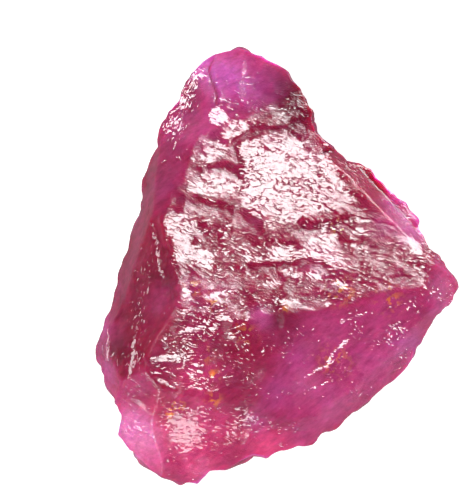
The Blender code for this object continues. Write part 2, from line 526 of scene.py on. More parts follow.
@dataclass(frozen=True)
class BrokenSkin:
    """The relief that breaking and cleaving leave on the stone's faces, in millimetres.

    Its places are pushed about by smooth noises. Ledges stand only where the face looks up: they grow with
    the upward part of its normal, times one sky value less the other. All of it fades towards the parting
    face, over the fade.
    """

    zones: tuple[Zone | Tread, ...]
    coarse: tuple[Breakage, ...] = (
        Breakage(2.6, chips=0.2, scoops=0.0, key=1.0, sharp=8.0),
        Breakage(1.2, chips=0.09, scoops=0.0, key=9.0, stretch=(1.0, 1.35, 1.0), sharp=6.0),
    )
    fine: tuple[Breakage, ...] = (
        Breakage(0.8, chips=0.04, scoops=0.03, key=21.0, stretch=(0.5, 1.2, 1.0), grain=ACROSS),
        Breakage(0.4, chips=0.02, scoops=0.015, key=23.0, stretch=(0.5, 1.1, 1.0), grain=ACROSS),
    )
    upright: tuple[Breakage, ...] = (
        Breakage(0.9, chips=0.05, scoops=0.05, key=25.0, stretch=(0.3, 1.2, 1.0), grain=UPRIGHT),
        Breakage(0.45, chips=0.02, scoops=0.04, key=27.0, stretch=(0.3, 1.1, 1.0), grain=UPRIGHT),
    )
    ledges: tuple[Ledge, ...] = (
        Ledge(
            0.3,
            ((-3.9, 12.9), (-4.0, 12.0), (-3.85, 11.2), (-3.65, 10.4), (-3.75, 9.6)),
            edge=0.06,
            reach=0.5,
        ),
        Ledge(0.3, ((1.05, 2.93), (1.95, 2.53), (3.05, 2.63), (4.55, 3.13))),
        Ledge(0.3, ((-7.55, 3.13), (-7.05, 2.13), (-6.55, 0.73), (-6.35, -0.67), (-5.85, -3.27))),
        Ledge(0.2, ((-4.95, -1.07), (-4.85, -1.67), (-4.45, -2.17), (-2.65, -2.47))),
    )
    zone_push: Push = Push(0.45, 0.12, 31.0)
    coarse_push: Push = Push(1.1, 0.2, 61.0)
    fine_push: Push = Push(0.45, 0.06, 63.0)
    ledge_push: Push = Push(0.8, 0.1, 65.0)
    sky_slope: float = 3.0
    sky_start: float = 0.6
    most_treads: float = 0.34
    fade: float = 0.8

    def lay_zones(self, x: Array, y: Array, top: Array, broken: Array) -> tuple[Array, Array]:
        """Raises the coarse breakage on the top, and lays every zone on it, each over the last.

        Formula: a face's share of treads grows as the square of how broken it is, and a zone's share and
        depth take its place as far as the zone covers it.

        Args:
            x: The places of the plan.
            y: The same places' other coordinate.
            top: The top's height there.
            broken: How broken the top is there.

        Returns:
            The new heights, and the share of treads at each place.
        """
        push = self.zone_push.shift(on_plan(x, y))
        pushed_x, pushed_y = x + push[:, 0], y + push[:, 1]
        treads = self.most_treads * broken**2
        top = top + self.coarse_rise(np.column_stack((x, y, top)))
        for zone in self.zones:
            share = zone.cover(pushed_x, pushed_y)
            top = top - share * zone.sink
            treads = treads + share * (zone.treads - treads)
        return top, treads

    def coarse_rise(self, points: Array) -> Array:
        """Gives the relief of the coarse breakage at places, in millimetres."""
        pushed = points + self.coarse_push.shift(points)
        return sum(form.rise(pushed) for form in self.coarse)

    def rise(self, points: Array, normals: Array, kinds: Array) -> Array:
        """Gives how far the fine skin stands out of the coarse one.

        Formula: the sum of the fine breakages, which grow with how broken the face is and follow its grain,
        and of the ledges where the face looks up, fading to nothing on the parting face.

        Args:
            points: Places on the flat faces, in millimetres.
            normals: The surface's unit normals there.
            kinds: What the stone is like there, with a column for each kind.

        Returns:
            The relief at each place, in millimetres.
        """
        pushed = points + self.coarse_push.shift(points) + self.fine_push.shift(points)
        broken, upright = kinds[:, Kind.BROKEN], kinds[:, Kind.UPRIGHT]
        total = broken * (1.0 - upright) * sum(form.rise(pushed) for form in self.fine)
        total = total + broken * upright * sum(form.rise(pushed) for form in self.upright)
        skyward = np.clip(self.sky_slope * normals[:, 2] - self.sky_start, 0.0, 1.0)
        pushed = points + self.ledge_push.shift(points)
        total = total + skyward * sum(ledge.rise(pushed) for ledge in self.ledges)
        return total * self.above_parting(points)

    def above_parting(self, points: Array) -> Array:
        """Gives how far places are above the parting face, as a share of the fade, from 0 to 1."""
        return np.clip(points[:, 2] / self.fade, 0.0, 1.0)


class Channel(Enum):
    """What the stone's mesh tells its finish at each vertex."""

    # How hollow the surface is, by which the finish paints shade into the hollows.
    HOLLOW = "hollow"
    TREADS = "treads"
    BROKEN = "broken"
    UPRIGHT = "upright"
    VIOLET = "violet"
    # Painted glow where light shines through the thin tip, edges, neck and shelf, with a painted violet
    # highlight on the neck.
    PAINTED_GLOW = "pale"
    # Painted lilac glow where light shines through thin edges, and a painted sheen along a ridge.
    LILAC_GLOW = "lilac"
    # Painted glow that brightens the lower parts, as of light shining through them from behind.
    PAINTED_BACKLIGHT = "bright"
    # Painted shade on faces turned from the light, partly the stone's deeper tone.
    SHADE_AND_DEEP_TONE = "deep"
    # Tiny orange flecks.
    ORANGE_FLECK = "orange_fleck"


ZONES: tuple[Zone | Tread, ...] = (
    Zone((
        (-1.4, 8.9), (-0.9, 10.2), (0.6, 10.9), (2.4, 10.9), (2.8, 9.0), (2.4, 7.9), (1.3, 8.0), (0.2, 8.5),
    ), treads=0.08, rim=0.8),
    Zone((
        (-2.5, 7.2), (-2.1, 7.5), (-0.9, 8.0), (0.0, 8.1), (1.2, 7.7), (1.6, 7.0), (2.9, 6.8), (3.6, 5.7),
        (4.1, 4.6), (4.7, 4.0), (3.6, 3.5), (1.9, 3.0), (0.4, 2.6), (-0.3, 2.3), (-1.1, 2.5), (-1.5, 3.2),
        (-2.2, 3.8), (-2.1, 5.1), (-2.2, 6.2),
    ), treads=0.85),
    Zone((
        (-4.6, 5.5), (-3.8, 5.6), (-2.8, 5.3), (-2.2, 5.1), (-2.4, 4.8), (-2.9, 4.5), (-3.5, 4.6),
        (-4.0, 5.1),
    )),
    Zone((
        (-5.4, 4.9), (-5.1, 5.2), (-4.4, 5.1), (-3.7, 4.7), (-3.1, 4.5), (-3.9, 4.3), (-4.6, 4.2),
        (-5.3, 4.5),
    )),
    Zone((
        (-6.1, 4.3), (-5.2, 4.0), (-4.3, 3.9), (-3.3, 3.6), (-2.4, 3.4), (-1.6, 3.1), (-1.2, 2.6),
        (-1.3, 2.2), (-1.9, 2.4), (-2.9, 2.9), (-3.9, 3.3), (-5.0, 3.5), (-6.0, 3.8),
    ), treads=0.0, sink=0.12, rim=0.5),
    Zone((
        (-2.8, 6.8), (-2.9, 7.4), (-2.5, 7.8), (-1.9, 8.1), (-1.3, 8.4), (-0.3, 8.4), (0.5, 8.3),
        (1.2, 7.9), (1.1, 7.7), (0.0, 8.1), (-0.9, 8.0), (-2.1, 7.5), (-2.5, 7.2), (-2.2, 6.2), (-2.5, 6.2),
    ), treads=0.0, sink=0.12),
    Zone((
        (-4.4, 6.0), (-3.7, 6.2), (-2.8, 6.0), (-2.4, 5.7), (-2.3, 5.3), (-2.9, 5.4), (-3.8, 5.7),
        (-4.3, 5.8),
    ), treads=0.0, sink=0.12),
    Zone((
        (-7.2, 2.6), (-6.8, 3.0), (-6.3, 3.3), (-5.6, 3.3), (-5.1, 3.0), (-4.7, 2.7), (-5.0, 2.4),
        (-4.2, 2.2), (-3.4, 2.2), (-3.3, 1.9), (-4.3, 1.9), (-5.0, 1.8), (-5.2, 1.3), (-6.4, 1.3),
        (-6.8, 1.7), (-6.9, 2.1),
    ), treads=0.75),
    Zone((
        (-6.3, 0.8), (-6.1, 1.2), (-5.1, 1.2), (-4.3, 1.0), (-3.9, 0.8), (-3.8, 0.1), (-4.3, 0.0),
        (-5.2, 0.3), (-5.8, 0.3), (-6.3, 0.4),
    )),
    Zone((
        (-2.0, 0.9), (-1.5, 0.6), (-0.9, 0.7), (-0.1, 1.2), (0.8, 1.2), (1.3, 0.7), (0.6, 0.4), (-0.4, 0.3),
        (-1.6, 0.3), (-2.0, 0.4),
    ), treads=0.75),
    Zone((
        (1.2, 0.9), (1.7, 1.2), (1.5, 1.6), (2.2, 1.9), (3.4, 2.1), (3.6, 1.7), (3.2, 1.4), (3.4, 1.0),
        (4.0, 0.7), (4.1, 0.1), (3.6, -0.2), (3.0, 0.0), (2.4, 0.5), (1.6, 0.6),
    ), treads=0.85),
    Zone((
        (-2.0, 0.2), (-0.5, 0.2), (1.3, 0.4), (2.4, 0.4), (3.1, -0.1), (2.9, -0.4), (2.0, 0.0), (0.7, 0.0),
        (-0.5, -0.2), (-1.7, -0.2),
    ), treads=0.0, sink=0.1),
    Zone((
        (-7.2, 3.2), (-6.9, 2.0), (-6.4, 1.1), (-6.3, 0.2), (-6.1, -1.2), (-6.4, -2.1), (-6.8, -1.2),
        (-6.9, 0.2), (-7.2, 1.5), (-7.5, 2.7),
    ), treads=0.0, sink=0.2, rim=0.5),
    Zone((
        (-1.95, -3.4), (-0.9, -2.8), (0.45, -2.6), (1.5, -2.8), (1.35, -3.6), (0.45, -4.35), (-0.9, -4.8),
        (-1.95, -4.35),
    ), treads=0.02),
    Tread(-3.55, 10.3, 0.9, 0.1, 104.0, treads=0.8), Tread(-0.9, 6.6, 2.8, 1.5, -20.0, rim=0.5),
    Tread(-3.7, 9.1, 1.2, 0.9, -30.0), Tread(-2.9, 8.0, 1.2, 0.5, 0.0), Tread(-2.1, 8.4, 0.8, 0.5, -30.0),
    Tread(-2.8, 8.6, 0.6, 0.4, 0.0), Tread(-3.8, 7.4, 1.7, 0.35, -14.0), Tread(-3.9, 6.9, 1.3, 0.22, -10.0),
    Tread(-4.3, 6.5, 1.0, 0.3, -10.0), Tread(4.8, 1.2, 0.9, 0.42, -14.0),
    Tread(5.0, 2.1, 0.95, 0.45, -14.0), Tread(4.9, 2.8, 1.5, 0.26, -4.0), Tread(8.2, 1.3, 1.3, 0.6, -48.0),
    Tread(3.6, -1.05, 0.95, 0.26, -20.0), Tread(0.9, -0.4, 1.3, 0.3, -12.0),
    Tread(2.1, -0.5, 0.8, 0.4, -20.0), Tread(-0.4, -1.0, 1.1, 0.45, 8.0), Tread(0.5, -2.0, 1.9, 0.24, -8.0),
    Tread(1.8, -2.35, 0.9, 0.22, -8.0), Tread(2.8, -2.2, 0.5, 0.2, 20.0), Tread(-5.5, -1.4, 0.55, 0.5, 0.0),
    Tread(-3.4, -1.5, 1.9, 0.3, 12.0), Tread(-5.3, -3.7, 1.4, 0.3, 14.0), Tread(-3.2, -3.0, 0.9, 0.5, 10.0),
    Tread(-2.9, -4.1, 0.6, 0.3, 14.0), Tread(-6.6, -5.4, 2.3, 0.32, 4.0), Tread(-7.4, -6.3, 0.5, 0.18, 0.0),
    Tread(-7.1, -6.7, 1.0, 0.34, -18.0), Tread(-6.5, -7.1, 0.9, 0.3, -26.0),
    Tread(-10.15, -3.4, 2.7, 0.15, 87.0), Tread(-8.6, -4.5, 2.8, 0.14, 82.0),
    Tread(-8.75, -5.3, 1.6, 0.1, 84.0), Tread(-7.3, 1.3, 2.4, 0.12, 103.0),
    Tread(-7.0, -0.3, 1.6, 0.1, 100.0), Tread(1.95, -6.4, 1.3, 0.12, 29.0),
    Tread(2.4, -7.1, 1.0, 0.1, 22.0), Tread(4.9, -2.8, 1.1, 0.12, 10.0), Tread(3.9, -3.2, 0.6, 0.12, 24.0),
    Tread(3.8, -4.6, 0.6, 0.3, 30.0), Tread(3.2, -5.3, 0.5, 0.2, 50.0),
)

PATCHES: dict[Channel, tuple[Patch, ...]] = {
    Channel.TREADS: (
        Patch(-5.2, 11.3, 0.8, 0.65), Patch(-5.9, 9.7, 0.8, 0.55), Patch(-6.5, 8.2, 0.7, 0.6),
        Patch(-2.4, 8.8, 1.6, 0.18), Patch(0.4, 8.9, 1.4, 0.12), Patch(-5.6, -9.7, 1.3, 1.0),
        Patch(-2.6, -9.2, 1.4, 0.3), Patch(-7.0, -6.2, 1.6, 0.1), Patch(-5.0, -7.0, 1.6, 0.2),
        Patch(-5.6, -4.6, 1.6, 0.2), Patch(-2.6, -5.5, 1.6, 0.12), Patch(-4.4, -2.6, 1.6, 0.12),
        Patch(-8.4, -5.4, 1.0, 0.35), Patch(-6.8, 0.4, 0.8, 0.25), Patch(-7.6, -2.6, 1.3, 0.18),
        Patch(-8.6, -9.6, 1.0, 0.4), Patch(9.6, -1.0, 1.0, 0.35), Patch(8.6, 0.6, 0.8, 0.3),
        Patch(6.2, 0.8, 2.4, -0.17), Patch(5.0, 3.8, 1.8, -0.13), Patch(-10.2, -5.0, 0.6, 0.4),
        Patch(3.8, -4.5, 1.2, 0.25), Patch(7.0, -3.9, 0.8, 0.5), Patch(8.0, -2.4, 0.5, 0.5),
        Patch(2.0, -6.5, 1.5, 0.15), Patch(0.0, -9.0, 1.4, 0.25),
    ),
    Channel.VIOLET: (
        Patch(0.9, 10.8, 1.4, -0.5), Patch(-7.8, -8.3, 1.2, -0.6), Patch(-3.5, 11.4, 1.2, 0.6),
        Patch(8.0, 3.0, 1.8, 0.6), Patch(-10.6, -4.0, 1.2, 0.7), Patch(-8.4, -9.6, 1.8, 0.5),
        Patch(-5.6, 9.2, 1.6, 0.3), Patch(-1.0, -3.0, 1.0, 0.4), Patch(-5.2, -12.0, 1.2, 0.6),
    ),
    # Painted glow where light shines through the thin tip, edges, neck and shelf, with a painted violet
    # highlight on the neck.
    Channel.PAINTED_GLOW: (
        Patch(-4.6, -12.4, 0.9, 0.35), Patch(-3.5, 11.6, 0.9, 0.5), Patch(-4.6, 11.6, 0.9, 0.6),
        Patch(8.5, 2.5, 1.3, 0.35), Patch(7.2, 4.3, 1.0, 0.4), Patch(-8.9, -9.4, 1.1, 1.0),
        Patch(-8.0, -10.4, 1.2, 0.8), Patch(-1.0, -3.0, 0.7, 0.3), Patch(1.6, -7.0, 1.2, 0.25),
        Patch(10.2, -1.6, 0.9, 0.4), Patch(-10.7, -4.6, 0.7, 0.1),
    ),
    # Painted lilac glow where light shines through thin edges, and a painted sheen along a ridge.
    Channel.LILAC_GLOW: (
        Patch(-3.4, 11.6, 1.0, 0.7), Patch(-2.2, 11.0, 1.4, 0.4), Patch(-0.6, 10.2, 1.2, 0.2),
        Patch(-4.8, 11.9, 0.8, 0.5), Patch(8.4, 2.6, 1.4, 0.5), Patch(7.3, 4.2, 0.9, 0.5),
        Patch(-10.6, -3.6, 0.9, 0.3), Patch(-10.3, -6.0, 0.9, 0.3), Patch(-8.6, -9.4, 1.2, 0.4),
        Patch(-1.2, -2.9, 0.8, 0.35), Patch(1.0, -5.4, 1.2, 0.3), Patch(-0.2, -7.4, 1.1, 0.35),
        Patch(-1.4, -9.2, 0.9, 0.4), Patch(7.8, -4.6, 1.0, 0.4), Patch(9.6, -2.0, 1.2, 0.3),
    ),
    # Painted glow that brightens the lower parts, as of light shining through them from behind.
    Channel.PAINTED_BACKLIGHT: (
        Patch(-5.2, -6.6, 1.8, 0.35), Patch(-3.0, -9.8, 1.8, 0.45), Patch(-5.2, -11.8, 1.8, 0.55),
        Patch(-7.0, -9.4, 1.6, 0.55), Patch(-7.8, -8.3, 0.9, 0.3), Patch(-0.5, -10.6, 1.4, 0.6),
    ),
    # Painted shade on faces turned from the light, partly the stone's deeper tone.
    Channel.SHADE_AND_DEEP_TONE: (
        Patch(-10.4, -4.8, 0.8, 0.35), Patch(-7.8, -8.3, 0.9, 0.2), Patch(0.3, -3.3, 1.1, 0.9),
        Patch(0.9, 10.8, 1.8, 1.0), Patch(-9.4, -4.8, 0.9, 0.8), Patch(-6.7, -0.5, 1.0, 0.6),
        Patch(-8.6, -1.0, 1.6, 0.4), Patch(0.9, 8.6, 1.2, 0.5), Patch(-7.0, 5.0, 1.4, 0.4),
    ),
    # Tiny orange flecks.
    Channel.ORANGE_FLECK: (
        Patch(-5.1, -1.2, 0.4, 1.0), Patch(3.6, 2.4, 0.35, 1.0), Patch(0.3, -2.5, 0.3, 0.9),
        Patch(-3.6, -2.0, 0.5, 1.0), Patch(-6.0, -8.3, 0.4, 0.9), Patch(-6.5, -8.7, 0.3, 0.9),
        Patch(-3.9, -7.9, 0.4, 0.9), Patch(-3.9, -6.4, 0.35, 0.9), Patch(-4.5, -5.2, 0.5, 0.6),
        Patch(3.7, -1.5, 0.7, 0.8), Patch(6.6, -1.9, 0.7, 0.7), Patch(-2.0, -3.9, 0.6, 0.5),
        Patch(3.4, -5.6, 0.9, 0.5),
    ),
}


# The stone's mesh ------------------------------------------------------------------------------------


def normals_of(points: Array, faces: Array) -> Array:
    """Gives the surface's normals: the sum of the cross products of the diagonals of the faces that meet.

    Args:
        points: The vertices, one per row.
        faces: Each face's four vertices, with a triangle's last one repeated.

    Returns:
        A unit normal for each vertex.
    """
    first = points[faces[:, 2]] - points[faces[:, 0]]
    second = points[faces[:, 3]] - points[faces[:, 1]]
    cross = np.cross(first, second)
    total = np.stack(
        [np.bincount(faces.ravel(), np.repeat(cross[:, axis], 4), len(points)) for axis in range(3)], axis=1
    )
    return total / np.maximum(np.linalg.norm(total, axis=1, keepdims=True), TINY)


def hollowness(points: Array, faces: Array, normals: Array) -> Array:
    """Gives how hollow the surface is: the mean rise of a vertex's edges above its own tangent plane.

    Args:
        points: The vertices, one per row.
        faces: Each face's four vertices, with a triangle's last one repeated.
        normals: The unit normal of each vertex.

    Returns:
        The rise for each unit of length at each vertex, below zero on ridges.
    """
    start, end = faces.ravel(), np.roll(faces, -1, axis=1).ravel()
    run = points[end] - points[start]
    length = np.maximum(np.linalg.norm(run, axis=1), TINY)
    there = (run * normals[start]).sum(axis=1) / length
    back = -(run * normals[end]).sum(axis=1) / length
    total = np.bincount(start, there, len(points)) + np.bincount(end, back, len(points))
    return total / np.bincount(faces.ravel(), minlength=len(points)) / 2.0


def border(number: Array) -> Array:
    """Gives the numbers round a grid's edge, once round and counterclockwise from its first corner."""
    return np.concatenate((number[:-1, 0], number[-1, :-1], number[:0:-1, -1], number[0, :0:-1]))


def sheet(number: Array) -> Array:
    """Gives the quads between the numbered vertices of a grid, facing up."""
    corners = (number[:-1, :-1], number[1:, :-1], number[1:, 1:], number[:-1, 1:])
    return np.stack(corners, axis=-1).reshape(-1, 4)


def band(rows: Array) -> Array:
    """Gives the quads between closed rows of numbered vertices, each row below the last, facing out."""
    after = np.roll(rows, -1, axis=1)
    return np.stack((rows[1:], after[1:], after[:-1], rows[:-1]), axis=-1).reshape(-1, 4)


def weld(row: Array, foot: Array) -> Array:
    """Gives the triangles between a closed row and a foot below it that meets every second of its vertices.

    Args:
        row: The numbers of the upper row's vertices.
        foot: The numbers of the foot's, half as many.

    Returns:
        The triangles, each with its last corner repeated.
    """
    ahead = np.roll(foot, -1)
    even, odd, next_even = row[::2], row[1::2], np.roll(row[::2], -1)
    corners = ((foot, odd, even, even), (foot, ahead, odd, odd), (ahead, next_even, odd, odd))
    return np.concatenate([np.stack(three, axis=-1) for three in corners])


@dataclass
class RubyStone:
    """The whole stone: its mesh, worked out over two grids and the broken rim between them.

    The rim and the underside are of one kind, with a share of treads of their own, and the coarse breakage
    stands out of them by more than it does on the top. Each plane of the crystal is given by the way that it
    faces. The top's treads lie along the far or the near plane, and the other treads along the skin.
    """

    form: StoneForm
    skin: BrokenSkin
    cells: int = 256
    rim_rows: int = 12
    least_rim: float = 0.4
    bend: Push = Push(2.4, 0.3, 71.0)
    wall_kind: tuple[float, ...] = (0.6, 0.45, 0.0, 0.0)
    wall_treads: float = 0.2
    wall_relief: float = 2.0
    far_plane: Point3 = (0.55, 0.5, 1.0)
    near_plane: Point3 = (-0.207, -0.45, 1.0)

    @property
    def top_count(self) -> int:
        """Gives how many of the stone's first vertices lie on its top."""
        return (self.cells + 1) ** 2

    def flat_faces(self) -> tuple[Array, Array, Array, Array]:
        """Works out the stone before its fine skin is broken.

        Formula: the top is a height over a grid laid on the outline, and the underside is one over a grid
        half as fine. The rim runs straight down from one to the other in equal rows, and its last row
        meets every second of its points.

        Returns:
            The vertices in millimetres, the faces with a triangle's last corner repeated, what the stone is
            like at each vertex, with a column for each kind, and its share of treads there.
        """
        x, y = self.form.plan(self.cells)
        push = self.bend.shift(on_plan(x, y))
        bent_x, bent_y = x + push[:, 0], y + push[:, 1]
        character = self.form.character(bent_x, bent_y)
        top, treads = self.skin.lay_zones(x, y, self.form.top(bent_x, bent_y), character[:, Kind.BROKEN])
        bottom = np.minimum(self.form.bottom(x, y), top - self.least_rim)

        number = np.arange(self.top_count).reshape(self.cells + 1, -1)
        half = number[::2, ::2]
        loop = border(number)
        share = np.linspace(0.0, 1.0, self.rim_rows + 1)[1:-1, None]
        wall = top[loop] * (1.0 - share) + bottom[loop] * share
        rim = np.column_stack((np.tile(x[loop], len(share)), np.tile(y[loop], len(share)), wall.ravel()))
        under = np.column_stack((x, y, bottom))[half.ravel()]
        points = np.concatenate((np.column_stack((x, y, top)), rim, under))
        kinds = np.tile(self.wall_kind, (len(points), 1))
        kinds[: self.top_count] = character
        treads = np.concatenate((treads, np.full(len(points) - self.top_count, self.wall_treads)))

        rows = np.concatenate((loop[None], self.top_count + np.arange(wall.size).reshape(wall.shape)))
        low = self.top_count + wall.size + np.arange(half.size).reshape(half.shape)
        faces = np.concatenate((sheet(number), sheet(low)[:, ::-1], band(rows), weld(rows[-1], border(low))))
        return points, faces, kinds, treads

    def tread_ways(self, normals: Array, kinds: Array) -> Array:
        """Gives the way that the treads face at each vertex.

        Formula: on the top it goes from the far plane's way to the near one's by how forward the face is, and
        elsewhere it is the surface's normal.

        Args:
            normals: The unit normals of the flat faces.
            kinds: What the stone is like there, with a column for each kind.

        Returns:
            One vector for each vertex.
        """
        planes = np.array((self.far_plane, self.near_plane))
        far, near = planes / np.linalg.norm(planes, axis=1, keepdims=True)
        ways = normals.copy()
        ways[: self.top_count] = far + kinds[: self.top_count, Kind.FORWARD, None] * (near - far)
        return ways

    @staticmethod
    def channels(points: Array, hollow: Array, kinds: Array, treads: Array) -> dict[Channel, Array]:
        """Works out what the mesh tells its finish: the skin's own values, with the patches over them.

        Args:
            points: The vertices in millimetres.
            hollow: How hollow the surface is at each.
            kinds: What the stone is like there, with a column for each kind.
            treads: The share of treads there.

        Returns:
            The values of each channel, one for each vertex.
        """
        own = {
            Channel.HOLLOW: hollow,
            Channel.TREADS: treads,
            Channel.BROKEN: kinds[:, Kind.BROKEN],
            Channel.UPRIGHT: kinds[:, Kind.UPRIGHT],
            Channel.VIOLET: kinds[:, Kind.VIOLET],
        }
        return {
            channel: own.get(channel, 0.0) + sum(patch.cover(points) for patch in PATCHES.get(channel, ()))
            for channel in Channel
        }

    def build(self) -> bpy.types.Object:
        """Breaks the skin, fits the stone to the frame's middle and makes the mesh, with its channels.

        Returns:
            The stone's object, at the origin, in metres.
        """
        points, faces, kinds, treads = self.flat_faces()
        normals = normals_of(points, faces)
        coarse = self.wall_relief * self.skin.coarse_rise(points) * self.skin.above_parting(points)
        coarse[: self.top_count] = 0.0
        points = points + normals * (coarse + self.skin.rise(points, normals, kinds))[:, None]
        hollow = hollowness(points, faces, normals_of(points, faces))
        channels = self.channels(points, hollow, kinds, treads)

        low, high = points.min(axis=0), points.max(axis=0)
        points = points - ((low[0] + high[0]) / 2.0, (low[1] + high[1]) / 2.0, 0.0)
        scale = min((CAD_BOX[1][axis] - CAD_BOX[0][axis]) / (high - low)[axis] for axis in range(3))
        LOG.info("the broken skin is %s mm, set into the frame at %.4f", np.round(high - low, 2), scale / MM)

        mesh = bpy.data.meshes.new("raw_ruby")
        corners = [face[:3] if face[2] == face[3] else face for face in faces.tolist()]
        mesh.from_pydata((points * scale).tolist(), [], corners)
        for channel, values in channels.items():
            held = np.clip(values, -1.0, 1.0).astype(np.float32)
            mesh.attributes.new(channel.value, "FLOAT", "POINT").data.foreach_set("value", held)
        ways = self.tread_ways(normals, kinds).astype(np.float32)
        mesh.attributes.new(CRYSTAL_PLANE, "FLOAT_VECTOR", "POINT").data.foreach_set("vector", ways.ravel())
        mesh.shade_smooth()
        stone = bpy.data.objects.new("raw_ruby", mesh)
        bpy.context.scene.collection.objects.link(stone)
        return stone


# Finishes --------------------------------------------------------------------------------------------

UNIT = (0.0, 1.0)


def opaque(colour: Colour) -> tuple[float, float, float, float]:
    """Gives the colour with a full alpha."""
    return (*colour, 1.0)


@dataclass(frozen=True)
class Pattern:
    """A noise on the skin: how often it comes in a metre, its detail and roughness, and its grain.

    A grain is turned from +X by an angle in degrees, and drawn out along each axis by its stretch.
    """

    scale: float
    detail: float
    rough: float = 0.5
    grain: float = 0.0
    stretch: Point3 | None = None


class Wiring:
    """A node tree that is wired in code."""

    def __init__(self, tree: bpy.types.NodeTree) -> None:
        """Takes the tree to wire."""
        self.tree = tree

    def feed(self, entry: Socket, value: object) -> None:
        """Gives a node's input its value.

        Args:
            entry: The input.
            value: A socket, which is linked to it, or any other value, which is set on it.
        """
        if isinstance(value, Socket):
            self.tree.links.new(value, entry)
        else:
            entry.default_value = value

    def node(self, kind: str, settings: dict | None = None, **inputs: object) -> bpy.types.Node:
        """Adds a node.

        Args:
            kind: The node's type, without the ShaderNode in front.
            settings: Properties of the node.
            inputs: What feeds its inputs, by name, or as i0, i1 by place.

        Returns:
            The node.
        """
        made = self.tree.nodes.new(f"ShaderNode{kind}")
        for name, value in (settings or {}).items():
            setattr(made, name, value)
        for name, value in inputs.items():
            self.feed(made.inputs[int(name[1:]) if name[1:].isdigit() else name], value)
        return made

    def maths(self, operation: str, *values: object) -> Socket:
        """Adds a Math node of that operation on the values and gives its result."""
        inputs = {f"i{place}": value for place, value in enumerate(values)}
        return self.node("Math", {"operation": operation}, **inputs).outputs[0]

    def vectors(self, operation: str, output: str = "Vector", **inputs: object) -> Socket:
        """Adds a Vector Math node of that operation and gives its vector or its value."""
        return self.node("VectorMath", {"operation": operation}, **inputs).outputs[output]

    def blend(self, share: object, first: object, second: object) -> Socket:
        """Mixes two colours by a share and gives the colour."""
        return self.node("Mix", {"data_type": "RGBA"}, i0=share, i6=first, i7=second).outputs[2]

    def blend_numbers(self, share: object, first: object, second: object) -> Socket:
        """Mixes two numbers by a share and gives the number."""
        return self.node("Mix", {"data_type": "FLOAT"}, i0=share, i2=first, i3=second).outputs[0]

    def range(self, value: object, span: tuple[object, object], to: tuple[object, object] = UNIT) -> Socket:
        """Maps a value's span onto another, held at its ends, and gives the result."""
        return self.node("MapRange", i0=value, i1=span[0], i2=span[1], i3=to[0], i4=to[1]).outputs[0]

    def noise(self, place: Socket, pattern: Pattern) -> Socket:
        """Adds a noise, turned and drawn out along its grain where it has one.

        Args:
            place: Where the noise is read.
            pattern: The noise's size and grain.

        Returns:
            Its value, about a half.
        """
        if pattern.stretch:
            grain = {"Rotation": (0.0, 0.0, math.radians(pattern.grain)), "Scale": pattern.stretch}
            place = self.node("Mapping", {"vector_type": "TEXTURE"}, Vector=place, **grain).outputs[0]
        size = {"Scale": pattern.scale, "Detail": pattern.detail, "Roughness": pattern.rough}
        return self.node("TexNoise", Vector=place, **size).outputs[0]

    def wander(self, way: Socket, place: Socket, pattern: Pattern, far: float) -> Socket:
        """Moves a vector about by a noise of its three parts.

        Args:
            way: The vector to move.
            place: Where the noise is read.
            pattern: The noise's size.
            far: How far it moves the vector along each axis, either way.

        Returns:
            The moved vector.
        """
        size = {"Scale": pattern.scale, "Detail": pattern.detail}
        parts = self.node("TexNoise", Vector=place, **size).outputs["Color"]
        centred = self.vectors("SUBTRACT", i0=parts, i1=(0.5, 0.5, 0.5))
        return self.vectors("ADD", i0=way, i1=self.vectors("SCALE", i0=centred, Scale=2.0 * far))


class StoneWiring(Wiring):
    """The node tree of the stone's material, with the places and channels that its finish reads."""

    def __init__(self, tree: bpy.types.NodeTree) -> None:
        """Takes the tree to wire and adds the nodes that read the stone's mesh.

        Args:
            tree: The tree of the stone's material.
        """
        super().__init__(tree)
        self.place = self.node("TexCoord").outputs["Object"]
        self.channel = {
            kind: self.node("Attribute", {"attribute_name": kind.value}).outputs["Fac"] for kind in Channel
        }

    def plane(self) -> Socket:
        """Gives the way that the treads face, as the mesh holds it, turned with the stone.

        Returns:
            The way, a vector of about unit length.
        """
        stored = self.node("Attribute", {"attribute_name": CRYSTAL_PLANE}).outputs["Vector"]
        settings = {"vector_type": "NORMAL", "convert_from": "OBJECT", "convert_to": "WORLD"}
        return self.node("VectorTransform", settings, Vector=stored).outputs[0]


@dataclass(frozen=True)
class Tint:
    """A colour that a channel brings in from its start on, at most by a share, with its edge clouded."""

    channel: Channel
    colour: Colour
    cloudy: float
    start: float = 0.05
    most: float = 1.0


